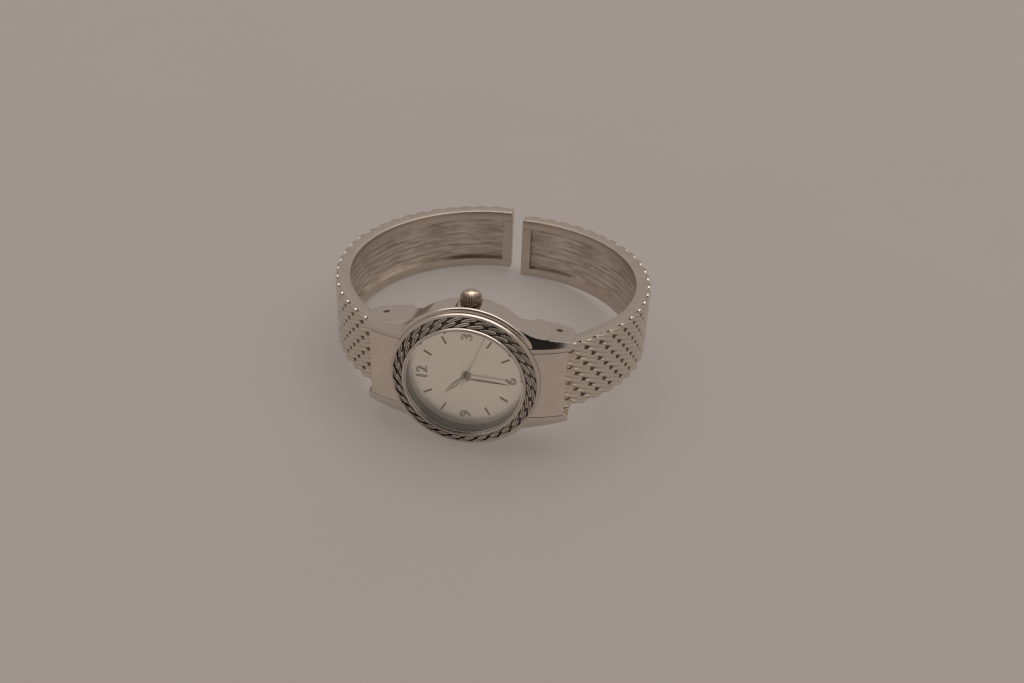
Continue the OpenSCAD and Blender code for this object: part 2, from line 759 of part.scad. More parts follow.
module setting_wheel() {
    phase = mate_phase(0, cannon_leaves, minute_dir, minute_teeth);
    color(brass) translate([setting_at[0], setting_at[1], 0]) difference() {
        gear(setting_teeth, cannon_mod, mate_phase(phase, minute_teeth, setting_dir, setting_teeth),
            minute_wheel_z, wheel_t);
        disc(0.25, minute_wheel_z - 1, 0);
    }
}

// The centre wheel, with the long tube and cannon pinion that carry the minute hand
module centre_wheel() {
    color(brass) difference() {
        union() {
            spoked(centre_teeth, centre_mod, 0, centre_wheel_z, wheel_t);
            gear(cannon_leaves, cannon_mod, 0, minute_wheel_z - 0.05, wheel_t + 0.1);
            disc(centre_tube_out_r, centre_wheel_z, minute_hand_z + hand_t);
        }
        disc(centre_tube_in_r, centre_wheel_z - 1, 1);
    }
}

module third_wheel() {
    leaf_phase = mate_phase(0, centre_teeth, third_dir, pinion_leaves);
    color(brass) translate([third_at[0], third_at[1], 0]) union() {
        spoked(third_teeth, third_mod, mate_phase(0, pinion_leaves, third_dir, third_teeth),
            third_wheel_z, wheel_t);
        gear(pinion_leaves, centre_mod, leaf_phase, centre_wheel_z - 0.05, wheel_t + 0.1);
        disc(arbor_r, third_wheel_z, centre_wheel_z);
        disc(pivot_r, plate_back_z - 0.25, train_floor_z + 0.3);
    }
}

module seconds_wheel() {
    color(brass) union() {
        spoked(seconds_teeth, fast_mod, 0, seconds_wheel_z, wheel_t);
        gear(pinion_leaves, third_mod, 0, third_wheel_z - 0.04, wheel_t + 0.08);
        disc(seconds_arbor_r, seconds_wheel_z - 0.1, second_hand_z + eps);
        disc(pivot_r, plate_back_z - 0.25, seconds_wheel_z);
    }
}

module intermediate_wheel() {
    leaf_phase = mate_phase(0, seconds_teeth, inter_dir, pinion_leaves);
    color(brass) translate([inter_at[0], inter_at[1], 0]) union() {
        gear(intermediate_teeth, fast_mod, mate_phase(0, rotor_leaves, rotor_dir + 180,
            intermediate_teeth), inter_wheel_z, wheel_t);
        gear(pinion_leaves, fast_mod, leaf_phase, inter_wheel_z, seconds_wheel_z - inter_wheel_z
            + wheel_t);
        disc(pivot_r, plate_back_z - 0.25, train_floor_z + 0.3);
    }
}

module rotor() {
    color([0.35, 0.35, 0.38]) translate([rotor_at[0], rotor_at[1], 0]) union() {
        gear(rotor_leaves, fast_mod, 0, inter_wheel_z - 0.02, wheel_t + 0.04);
        disc(0.6, coil_z - 0.25, coil_z + 0.25);
        disc(pivot_r, plate_back_z - 0.25, train_floor_z + 0.3);
    }
}

module movement_holder() {
    in_r = movement_d/2 + 0.05;
    bottom_z = back_z + back_t - back_proud + 0.05;
    color([0.9, 0.9, 0.86]) difference() {
        union() {
            ring(bore_r - 0.1, in_r, plate_back_z - 0.35, dial_back_z);
            difference() {
                ring(bore_r - 0.1, in_r - 0.55, bottom_z, plate_back_z - 0.35);
                for (a = [45:90:315]) rotate(a) translate([in_r, 0, 0]) cube([9, 6, 20], center = true);
            }
        }
        along_stem(movement_d/2 - 2) cylinder(r = tube_r + 0.15, h = 6);
    }
}

module main_plate() {
    color(plastic) difference() {
        union() {
            disc(movement_d/2, plate_back_z, plate_front_z);
            ring(movement_d/2, movement_d/2 - 0.8, plate_front_z - eps, dial_back_z);
            translate([minute_at[0], minute_at[1], 0]) disc(0.15, plate_front_z - eps, dial_back_z - 0.1);
            translate([setting_at[0], setting_at[1], 0]) disc(0.2, plate_front_z - eps, dial_back_z - 0.1);
        }
        for (a = dial_foot_dirs) rotate(a) translate([dial_foot_at, 0, 0])
            disc(dial_foot_r + 0.05, dial_back_z - dial_foot_l - 0.3, 0);
        disc(centre_tube_out_r + 0.08, train_floor_z - 0.1, plate_front_z + 0.1);
        disc(2.62, plate_back_z - 1, train_floor_z);
        translate([third_at[0], third_at[1], 0]) disc(2.62, plate_back_z - 1, train_floor_z);
        translate([inter_at[0], inter_at[1], 0]) disc(1.85, plate_back_z - 1, train_floor_z);
        translate([rotor_at[0], rotor_at[1], 0]) disc(0.85, plate_back_z - 1, train_floor_z);
        for (p = [third_at, inter_at, rotor_at]) translate([p[0], p[1], 0])
            disc(pivot_hole_r, train_floor_z - 0.1, train_floor_z + 0.45);
        translate([battery_at[0], battery_at[1], 0])
            disc(battery_d/2 + 0.05, plate_back_z - 1, battery_front_z + 0.05);
        coil_pocket();
        translate([board_at[0], board_at[1], plate_back_z - 1]) linear_extrude(2.4)
            square([5.8, 4.2], center = true);
        along_stem(pinion_y - crown_pull - 0.6) cylinder(r = stem_r + 0.1, h = 12);
        translate([-pinion_r - 0.15, pinion_y - 0.15, plate_back_z - 1])
            cube([2*pinion_r + 0.3, pinion_l + 0.3, plate_front_z - plate_back_z + 0.4]);
        translate([0, 0, plate_back_z - 1]) linear_extrude(1.25) lever_pocket();
        for (p = concat(screw_places(), [clamp_foot])) translate([p[0], p[1], 0])
            disc(0.3, plate_back_z - 1, plate_back_z + 1.5);
    }
}

module lever_pocket() {
    difference() {
        translate([-3.1, 7.1]) square([3.6, 2.1]);
        translate(lever_at) circle(r = 0.25);
    }
}

function screw_places() = [[-5.6, 2.4], [1.6, 3.4], [5, 0.3]];

module coil_pocket() {
    translate([coil_at[0], coil_at[1], plate_back_z - 1]) rotate(coil_dir)
        linear_extrude(coil_z - plate_back_z + 1 + coil_r + 0.1)
        square([2*coil_reach, 2*coil_r + 0.2], center = true);
    translate([0, 0, plate_back_z - 1]) linear_extrude(coil_z - plate_back_z + 1 + 0.3) stator2d(0.08);
}

// Two bars run from the ends of the coil to a ring round the rotor
module stator2d(grow) {
    u = [cos(coil_dir), sin(coil_dir)];
    n = [-u[1], u[0]];
    for (s = [-1, 1]) {
        from = coil_at + s*coil_reach*u - 0.4*n;
        corner = coil_at + s*coil_reach*u + 1.65*n;
        bar2d(from, corner, 0.8 + 2*grow);
        bar2d(corner, rotor_at, 0.8 + 2*grow);
        translate(corner) circle(r = 0.4 + grow);
    }
    translate(rotor_at) circle(r = 1.3 + grow);
}

module stator() {
    color(steel) translate([0, 0, coil_z - 0.25]) linear_extrude(0.5) difference() {
        stator2d(0);
        translate(rotor_at) circle(r = 0.72);
    }
}

module coil_core() {
    color(steel) translate([coil_at[0], coil_at[1], coil_z - 0.25]) rotate(coil_dir)
        translate([-coil_core_l/2, -0.33, 0]) cube([coil_core_l, 0.66, 0.5]);
}

module coil_winding() {
    color([0.72, 0.4, 0.22]) translate([coil_at[0], coil_at[1], coil_z]) rotate(coil_dir)
        rotate([0, 90, 0]) difference() {
            cylinder(r = coil_r, h = coil_l, center = true);
            cube([0.52, 0.68, coil_l + 1], center = true);
        }
}

module circuit_board() {
    color([0.2, 0.42, 0.28]) translate([board_at[0], board_at[1], plate_back_z + 1.2])
        linear_extrude(0.2) square([5.6, 4], center = true);
}

module quartz_oscillator() {
    color(steel) translate([quartz_at[0] - 2.9, quartz_at[1] - 0.6, plate_back_z + 0.6])
        rotate([0, 90, 0]) cylinder(r = 0.58, h = 4.6);
}

module train_bridge() {
    centre = [0, 0];
    color(steel) translate([0, 0, plate_back_z - bridge_t]) linear_extrude(bridge_t) difference() {
        union() {
            for (p = [third_at, inter_at, rotor_at, centre]) translate(p) circle(r = 0.9);
            for (p = screw_places()) translate(p) circle(r = 0.8);
            for (q = [third_at, inter_at]) bar2d(centre, q, 1.4);
            bar2d(inter_at, rotor_at, 1.4);
            bar2d(third_at, screw_places()[0], 1.2);
            bar2d(centre, screw_places()[1], 1.2);
            bar2d(inter_at, screw_places()[2], 1.2);
        }
        for (p = [third_at, inter_at, rotor_at, centre]) translate(p) circle(r = pivot_hole_r);
        for (p = screw_places()) translate(p) circle(r = 0.31);
    }
}

module screw(z) {
    color(steel) difference() {
        union() {
            disc(0.6, z - 0.3, z);
            disc(0.28, z - eps, z + 1.3);
        }
        translate([-1, -0.07, z - 0.4]) cube([2, 0.14, 0.22]);
    }
}

module bridge_screws() {
    for (p = screw_places()) translate([p[0], p[1], 0]) screw(plate_back_z - bridge_t);
}

module battery() {
    r = battery_d/2;
    back = plate_back_z - 0.05;
    color([0.8, 0.8, 0.82]) translate([battery_at[0], battery_at[1], 0]) rotate_extrude() polygon([
        [0, back], [r - 0.2, back], [r, back + 0.2], [r, battery_front_z - 0.45],
        [r - 0.6, battery_front_z - 0.35], [r - 0.8, battery_front_z], [0, battery_front_z]]);
}

module battery_clamp() {
    color(steel) translate([0, 0, plate_back_z - 0.22]) linear_extrude(0.16) difference() {
        union() {
            bar2d(clamp_foot, battery_at, 1.5);
            translate(clamp_foot) circle(r = 0.8);
            translate(battery_at) circle(r = 1.1);
        }
        translate(clamp_foot) circle(r = 0.31);
    }
}

module clamp_screw() {
    translate([clamp_foot[0], clamp_foot[1], 0]) screw(plate_back_z - 0.22);
}

module case_back() {
    top = back_z - back_proud + back_t;
    lip_z = back_seat_z - back_gasket_t - 0.02;
    color(steel) rotate_extrude() polygon([
        [0, back_z - back_proud], [back_r_out - 0.5, back_z - back_proud], [back_r_out - 0.1, back_z],
        [back_r_out, back_z + 0.1], [back_r_out, lip_z], [bore_r, lip_z], [bore_r, top], [0, top]]);
}

module case_back_gasket() {
    color(rubber) ring(back_r_out - 0.05, bore_r + 0.03, back_seat_z - back_gasket_t - 0.01,
        back_seat_z - 0.01);
}

lay_on_side() mid_case();
lay_on_side() bezel();
lay_on_side() crystal();
lay_on_side() crystal_gasket();
lay_on_side() dial_ring();
lay_on_side() dial();
lay_on_side() hour_markers();
lay_on_side() hood_plate(-1);  // hood_plate_12
lay_on_side() hood_plate(1);  // hood_plate_6
lay_on_side() hinge_pin(-1);  // hinge_pin_12
lay_on_side() hinge_pin(1);  // hinge_pin_6
lay_on_side() hinge_spring(-1);  // hinge_spring_12
lay_on_side() hinge_spring(1);  // hinge_spring_6
lay_on_side() cuff_arm(-1);  // cuff_arm_12
lay_on_side() cuff_arm(1);  // cuff_arm_6
lay_on_side() crown();
lay_on_side() crown_gasket();
lay_on_side() crown_tube();
lay_on_side() stem();
lay_on_side() sliding_pinion();
lay_on_side() setting_lever();
lay_on_side() hour_hand();
lay_on_side() minute_hand();
lay_on_side() second_hand();
lay_on_side() hour_wheel();
lay_on_side() minute_wheel();
lay_on_side() centre_wheel();
lay_on_side() third_wheel();
lay_on_side() seconds_wheel();
lay_on_side() intermediate_wheel();
lay_on_side() rotor();
lay_on_side() setting_wheel();
lay_on_side() movement_holder();
lay_on_side() main_plate();
lay_on_side() train_bridge();
lay_on_side() bridge_screws();
lay_on_side() stator();
lay_on_side() coil_core();
lay_on_side() coil_winding();
lay_on_side() circuit_board();
lay_on_side() quartz_oscillator();
lay_on_side() battery();
lay_on_side() battery_clamp();
lay_on_side() clamp_screw();
lay_on_side() case_back();
lay_on_side() case_back_gasket();
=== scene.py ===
"""Looks of the cuff watch: woven arms, a rope round the bezel, a sunray dial, a fluted crown.

Every new piece is drawn in millimetres, dial up, with x from 12 to 6 o'clock, y towards the
crown and z out of the dial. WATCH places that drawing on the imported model.
"""

import json
import math

import bmesh
import bpy
import numpy as np
from mathutils import Matrix, Vector

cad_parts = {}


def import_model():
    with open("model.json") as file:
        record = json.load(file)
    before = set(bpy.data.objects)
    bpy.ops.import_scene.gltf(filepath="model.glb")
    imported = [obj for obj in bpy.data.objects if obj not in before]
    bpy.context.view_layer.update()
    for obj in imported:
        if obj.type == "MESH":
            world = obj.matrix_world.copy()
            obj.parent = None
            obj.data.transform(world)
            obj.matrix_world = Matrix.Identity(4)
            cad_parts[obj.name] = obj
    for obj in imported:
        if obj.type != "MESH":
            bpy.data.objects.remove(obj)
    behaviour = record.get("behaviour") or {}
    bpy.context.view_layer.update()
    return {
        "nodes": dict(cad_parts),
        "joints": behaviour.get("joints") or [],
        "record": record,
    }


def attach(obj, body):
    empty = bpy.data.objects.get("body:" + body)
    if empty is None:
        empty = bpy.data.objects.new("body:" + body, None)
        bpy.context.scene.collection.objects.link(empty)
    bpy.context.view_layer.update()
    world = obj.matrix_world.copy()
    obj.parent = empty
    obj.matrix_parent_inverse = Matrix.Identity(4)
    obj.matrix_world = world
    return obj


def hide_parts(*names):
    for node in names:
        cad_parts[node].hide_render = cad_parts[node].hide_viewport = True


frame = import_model()

MM = 0.001

WINDOW_R = 11.05
BEZEL_R = 14.0
CHAIN_IN_R = WINDOW_R + 0.55
CHAIN_OUT_R = BEZEL_R - 0.6
DIAL_Z = -1.6
BEZEL_RISE = 1.7
BEZEL_EDGE = 0.3

CUFF_INNER_W = 58.2
CUFF_MID_DEPTH = 30.5
ARM_T = 3.1
ARM_W = 13.8
END_GAP = 2.45
GAP_SHIFT = 0.72
ARM_LEAN = 0.9
RECESS_DEPTH = 1.0
RECESS_BORDER = 2.0
RECESS_TO_HINGE = 14.0
PIN_X = 16.26
PIN_DEPTH = 6.6
PIN_INSET = 0.43
PIN_BORE_R = 0.65
KNUCKLE_R = 1.9
SPRING_SLOT_W = 3.5

ARM_TO_PIN = CUFF_INNER_W / 2 + PIN_INSET
PIN_RISE = CUFF_MID_DEPTH - PIN_DEPTH
ARM_OFFSET = (ARM_TO_PIN**2 - PIN_X**2 - PIN_RISE**2) / (2 * (ARM_TO_PIN - PIN_X))
ARM_R = CUFF_INNER_W / 2 - ARM_OFFSET
HINGE_DIR = 90 + math.degrees(math.atan2(PIN_RISE, PIN_X - ARM_OFFSET))

joint = {j["name"]: j for j in frame["joints"]}


def watch_matrix():
    """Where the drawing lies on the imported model, found from the two hinge pins."""
    pin_12, pin_6 = (Vector(joint[f"cuff_arm_{n}_hinge"]["pos_m"]) for n in (12, 6))
    x = (pin_6 - pin_12).normalized()
    y = Vector(joint["cuff_arm_12_hinge"]["axis"]).normalized()
    z = x.cross(y)
    centre = (pin_12 + pin_6) / 2 + z * PIN_DEPTH * MM
    return Matrix.Translation(centre) @ Matrix((x, y, z)).transposed().to_4x4()


WATCH = watch_matrix()


# Materials


class Paint:
    """A material with one Principled shader, and short calls to add nodes to it."""

    def __init__(self, name, color, metallic=0.0, roughness=0.4, **settings):
        self.material = bpy.data.materials.new(name)
        self.material.use_nodes = True
        self.tree = self.material.node_tree
        self.shader = self.tree.nodes["Principled BSDF"]
        self.set(self.shader, {"Base Color": (*color, 1), "Metallic": metallic, "Roughness": roughness})
        self.set(self.shader, {k.replace("_", " "): v for k, v in settings.items()})

    def set(self, node, inputs):
        for key, value in inputs.items():
            if isinstance(value, bpy.types.NodeSocket):
                self.tree.links.new(value, node.inputs[key])
            else:
                node.inputs[key].default_value = value

    def add(self, kind, inputs=None, **settings):
        node = self.tree.nodes.new("ShaderNode" + kind)
        for key, value in settings.items():
            setattr(node, key, value)
        self.set(node, inputs or {})
        return node

    def coords(self, stretch=(1, 1, 1)):
        """Object coordinates in millimetres, stretched along the axes."""
        place = self.add("TexCoord")
        scale = tuple(s / MM for s in stretch)
        return self.add("Mapping", {"Vector": place.outputs["Object"], "Scale": scale}).outputs[0]

    def noise(self, stretch=(1, 1, 1), scale=1.0, detail=4.0, rough=0.6):
        inputs = {"Vector": self.coords(stretch), "Scale": scale, "Detail": detail, "Roughness": rough}
        return self.add("TexNoise", inputs).outputs[0]

    def blend(self, factor, low, high, low_at=0.3, high_at=0.7):
        """A colour ramp from low to high over a factor."""
        ramp = self.add("ValToRGB", {"Fac": factor})
        first, last = ramp.color_ramp.elements
        first.position, first.color = low_at, (*low, 1)
        last.position, last.color = high_at, (*high, 1)
        return ramp.outputs[0]

    def rough(self, factor, low, high):
        span = self.add("MapRange", {"Value": factor, "To Min": low, "To Max": high})
        self.set(self.shader, {"Roughness": span.outputs[0]})

    def bump(self, height, depth, edge=0.0):
        """Relief of the given depth in millimetres, over edges rounded by edge millimetres."""
        inputs = {"Height": height, "Distance": depth * MM, "Strength": 1.0}
        if edge:
            inputs["Normal"] = self.add("Bevel", {"Radius": edge * MM}, samples=6).outputs[0]
        self.set(self.shader, {"Normal": self.add("Bump", inputs).outputs[0]})


TONE_SPREAD = 0.08


def metal(name, color, roughness, stretch=(1, 1, 1), scale=2.0, depth=0.003, edge=0.05):
    """Metal with faint uneven tone, fine marks and softened edges."""
    paint = Paint(name, color, 1.0, roughness)
    marks = paint.noise(stretch, scale)
    darker = tuple(c * (1 - TONE_SPREAD) for c in color)
    paint.set(paint.shader, {"Base Color": paint.blend(paint.noise(scale=0.35), darker, color)})
    paint.rough(marks, roughness * 0.75, roughness * 1.3)
    paint.bump(marks, depth, edge=edge)
    return paint


POLISHED = metal("polished", (0.74, 0.67, 0.60), 0.13, edge=0.1)
SATIN = metal("satin", (0.66, 0.58, 0.51), 0.3, scale=6, depth=0.006, edge=0.12)
LINKS = metal("links", (0.72, 0.64, 0.56), 0.2, scale=3, depth=0.004, edge=0)
ROPE = metal("rope", (0.74, 0.67, 0.60), 0.16, scale=4, depth=0.003, edge=0)
BRASSY = metal("crown_metal", (0.64, 0.55, 0.44), 0.16, edge=0.05)
STEEL = metal("steel", (0.60, 0.59, 0.57), 0.25, (1, 8, 1))
BACK = metal("back_steel", (0.58, 0.57, 0.56), 0.3, (1, 10, 1), edge=0.1)
CELL = metal("cell_steel", (0.72, 0.72, 0.72), 0.2)
BRASS = metal("wheel_brass", (0.72, 0.55, 0.27), 0.28)
MAGNET = metal("magnet", (0.16, 0.16, 0.17), 0.5)
HANDS = metal("hands", (0.74, 0.68, 0.60), 0.2, edge=0)
MARKS = metal("markers", (0.32, 0.27, 0.23), 0.25, edge=0.03)
NUMERALS = metal("numerals", (0.44, 0.39, 0.34), 0.3, edge=0)
# The hinge pins' ends are painted near black: painted shade for the holes they sit in.
PIN_SHADE = metal("pin_end_shade", (0.10, 0.085, 0.075), 0.45)
# Dark brown paint for the crown's flute valleys: painted shade in the grooves.
GROOVE_SHADE = metal("crown_groove_shade", (0.34, 0.27, 0.20), 0.35)
# A lighter copy of the polished metal, for the hood plates: painted light that makes them brighter than the
# rest of the case.
HOOD_LIT = metal("hood_lit_polish", (0.81, 0.73, 0.655), 0.13, edge=0.1)
RIM = metal("bezel_rim", (0.72, 0.65, 0.58), 0.24, edge=0.1)


def gap_shade_ground():
    """The near-black ground under the links and the rope, painted shade that shows in the gaps between them.
    """
    paint = Paint("gap_shade_ground", (0.1, 0.08, 0.07), 1.0, 0.35)
    tone = paint.noise(scale=1.6)
    paint.set(paint.shader, {"Base Color": paint.blend(tone, (0.07, 0.055, 0.05), (0.20, 0.165, 0.14))})
    paint.bump(tone, 0.03)
    return paint


def recess_grain():
    """The floor of an arm's recess, with uneven grain along the arm."""
    paint = Paint("recess_grain", (0.66, 0.59, 0.53), 1.0, 0.36)
    place = paint.add("UVMap")
    stretch = paint.add("Mapping", {"Vector": place.outputs[0], "Scale": (0.16, 1.5, 1)}).outputs[0]
    grain = paint.add("TexNoise", {"Vector": stretch, "Scale": 1, "Detail": 5, "Roughness": 0.62}).outputs[0]
    tone = paint.blend(grain, (0.42, 0.36, 0.31), (0.78, 0.71, 0.64), 0.35, 0.6)
    paint.set(paint.shader, {"Base Color": tone})
    paint.rough(grain, 0.5, 0.3)
    paint.bump(grain, 0.12)
    return paint


def sunray():
    """A lacquered dial brushed from its centre outwards. It glows faintly, because under the glass
    it would otherwise render darker than in the photo."""
    paint = Paint("sunray", (0.93, 0.84, 0.76), 0.92, 0.26, Emission_Color=(1.0, 0.89, 0.79, 1))
    place = paint.add("SeparateXYZ", {"Vector": paint.coords()}).outputs
    turn = paint.add("Math", {0: place[1], 1: place[0]}, operation="ARCTAN2").outputs[0]
    spin = paint.add("CombineXYZ", {"X": turn}).outputs[0]
    fine = paint.add("TexNoise", {"Vector": spin, "Scale": 60, "Detail": 6, "Roughness": 0.75}).outputs[0]
    paint.set(paint.shader, {
        "Base Color": paint.blend(fine, (0.86, 0.77, 0.69), (1.0, 0.91, 0.82)),
        "Anisotropic": 0.6,
        "Anisotropic Rotation": 0.25,
        "Emission Strength": 0.055,
        "Coat Weight": 0.3,
        "Coat Roughness": 0.08,
        "Tangent": paint.add("Tangent", direction_type="RADIAL", axis="Z").outputs[0],
    })
    paint.bump(fine, 0.006)
    return paint


def flange_paint():
    """The grey ring round the dial."""
    paint = Paint("flange", (0.39, 0.37, 0.34), 0.3, 0.35)
    tone = paint.noise(scale=3)
    paint.set(paint.shader, {"Base Color": paint.blend(tone, (0.36, 0.345, 0.31), (0.42, 0.40, 0.365))})
    paint.bump(tone, 0.004)
    return paint


def glass():
    """Clear glass that lets light through to the dial."""
    paint = Paint("glass", (0.99, 1.0, 0.99), 0.0, 0.0, Transmission_Weight=1.0, IOR=1.45)
    smear = paint.noise(scale=0.25)
    paint.rough(smear, 0.0, 0.02)
    path = paint.add("LightPath")
    clear = paint.add("BsdfTransparent", {"Color": (0.95, 0.97, 0.95, 1)})
    inputs = {0: path.outputs["Is Shadow Ray"], 1: paint.shader.outputs[0], 2: clear.outputs[0]}
    mix = paint.add("MixShader", inputs)
    paint.set(paint.tree.nodes["Material Output"], {"Surface": mix.outputs[0]})
    return paint


def dull(name, dark, light, roughness, scale=3.0, depth=0.01, metallic=0.0):
    """Plastic, rubber or lacquer with a faintly uneven tone."""
    paint = Paint(name, light, metallic, roughness)
    tone = paint.noise(scale=scale)
    paint.set(paint.shader, {"Base Color": paint.blend(tone, dark, light)})
    paint.bump(tone, depth)
    return paint


GAP_SHADE = gap_shade_ground()
RECESS = recess_grain()
SUNRAY = sunray()
FLANGE = flange_paint()
GLASS = glass()
RUBBER = dull("gasket", (0.03, 0.03, 0.03), (0.06, 0.06, 0.06), 0.6)
# The pale gasket gives the glass its green edge, and glows faintly for the dial's reason
CLEAR = dull("clear_gasket", (0.50, 0.55, 0.51), (0.58, 0.63, 0.59), 0.35)
CLEAR.set(CLEAR.shader, {"Emission Color": (0.9, 1.0, 0.92, 1), "Emission Strength": 0.06})
HOLDER = dull("holder_plastic", (0.70, 0.70, 0.66), (0.78, 0.78, 0.73), 0.5)
PLATE = dull("plate_plastic", (0.05, 0.06, 0.07), (0.08, 0.09, 0.10), 0.45)
COPPER = dull("copper", (0.42, 0.15, 0.06), (0.55, 0.22, 0.10), 0.3, 20, 0.03, 1.0)
BOARD = dull("board", (0.02, 0.10, 0.04), (0.04, 0.15, 0.07), 0.25)

FINISH = {
    "polished_case": POLISHED, "cuff_metal": SATIN, "crown_metal": BRASSY, "steel": STEEL,
    "cell_steel": CELL, "back_steel": BACK, "crystal": GLASS, "gasket": RUBBER, "flange": FLANGE,
    "dial": SUNRAY, "markers": MARKS, "hands": HANDS, "wheel_brass": BRASS, "magnet": MAGNET,
    "holder_plastic": HOLDER, "plate_plastic": PLATE, "copper": COPPER, "board": BOARD,
}
OWN = {
    "hinge_pin_12": PIN_SHADE, "hinge_pin_6": PIN_SHADE, "hood_plate_12": HOOD_LIT, "hood_plate_6": HOOD_LIT,
    "crystal_gasket": CLEAR, "bezel": RIM,
}
for part in frame["record"]["subparts"]:
    node = frame["nodes"][part["node"]]
    node.data.materials.clear()
    finish = OWN.get(part["node"], FINISH[part["material_slot"]])
    node.data.materials.append(finish.material)


# Meshes


class Shape:
    """Points and faces of one piece, gathered from grids, each with the number of its paint."""

    def __init__(self):
        self.points = []
        self.faces = []
        self.paints = []
        self.uvs = []

    def grid(self, points, paint=0, closed_u=False, closed_v=False, uv=None):
        """Joins a grid of points, an array of rows by columns by 3, with quads."""
        points = np.asarray(points, float)
        rows, cols = points.shape[:2]
        start = len(self.points)
        self.points.extend(points.reshape(-1, 3).tolist())
        uv = np.zeros((rows, cols, 2)) if uv is None else np.asarray(uv)
        self.uvs.extend(uv.reshape(-1, 2).tolist())
        paint = np.broadcast_to(np.asarray(paint), (rows, cols))
        for i in range(rows if closed_u else rows - 1):
            for k in range(cols if closed_v else cols - 1):
                i2, k2 = (i + 1) % rows, (k + 1) % cols
                self.faces.append([start + i * cols + k, start + i2 * cols + k,
                                   start + i2 * cols + k2, start + i * cols + k2])
                self.paints.append(int(paint[i, k]))
        return start

    def cap(self, start, count):
        """Closes a row of points with one face in the first paint."""
        self.faces.append(list(range(start, start + count)))
        self.paints.append(0)


def piece(name, shape, paints, body, replaces=(), sharp=35):
    """Makes a shape an object that rides on a body and stands for the nodes that it replaces."""
    mesh = bpy.data.meshes.new(name)
    mesh.from_pydata((np.array(shape.points) * MM).tolist(), [], shape.faces)
    for paint in paints:
        mesh.materials.append(paint.material)
    mesh.polygons.foreach_set("material_index", shape.paints)
    layer = mesh.uv_layers.new(name="UVMap")
    corners = np.zeros(len(mesh.loops), int)
    mesh.loops.foreach_get("vertex_index", corners)
    layer.data.foreach_set("uv", np.array(shape.uvs)[corners].ravel())
    work = bmesh.new()
    work.from_mesh(mesh)
    bmesh.ops.remove_doubles(work, verts=work.verts, dist=1e-6)
    bmesh.ops.recalc_face_normals(work, faces=work.faces)
    work.to_mesh(mesh)
    work.free()
    mesh.shade_smooth()
    mesh.set_sharp_from_angle(angle=math.radians(sharp))
    obj = bpy.data.objects.new(name, mesh)
    bpy.context.scene.collection.objects.link(obj)
    obj.matrix_world = WATCH
    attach(obj, body)
    if replaces:
        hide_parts(*replaces)
    return obj


def lens(length, width, height, slant, along=15, across=13):
    """One link, as lengthways, sideways and height offsets: two strands side by side that taper
    to tucked-in tips, laid aslant with a slight S bend."""
    u = np.linspace(-1, 1, along)[:, None]
    q = np.linspace(-1, 1, across)[None, :]
    half = width / 2 * (1 - np.abs(u) ** 2.8) ** 0.6 + 0.02 * width
    whole = np.sqrt(np.clip(1 - q**2, 0, 1))
    strands = np.sqrt(np.clip(1 - (2 * np.abs(q) - 1) ** 2, 0, 1))
    twin = 0.35 * whole + 0.65 * strands
    arch = 0.35 + 0.65 * np.cos(u * math.pi / 2) ** 0.7
    side = slant * (0.75 * u + 0.25 * np.sin(u * math.pi)) * length / 2 + q * half
    return u * length / 2 + 0 * q, side, height * twin * arch


# Cuff arms

# Degrees before the hinge at which an arm's band ends and its two tongues begin
TONGUE_TURN = 6.2
LINK_PITCH = 3.57
LINK_L = 4.7
LINK_ROWS = 8
LINK_SLANT = 0.28
LINK_H = 0.75
LINK_OVERLAP = 1.12
GROUND_R = ARM_R + ARM_T - 0.7


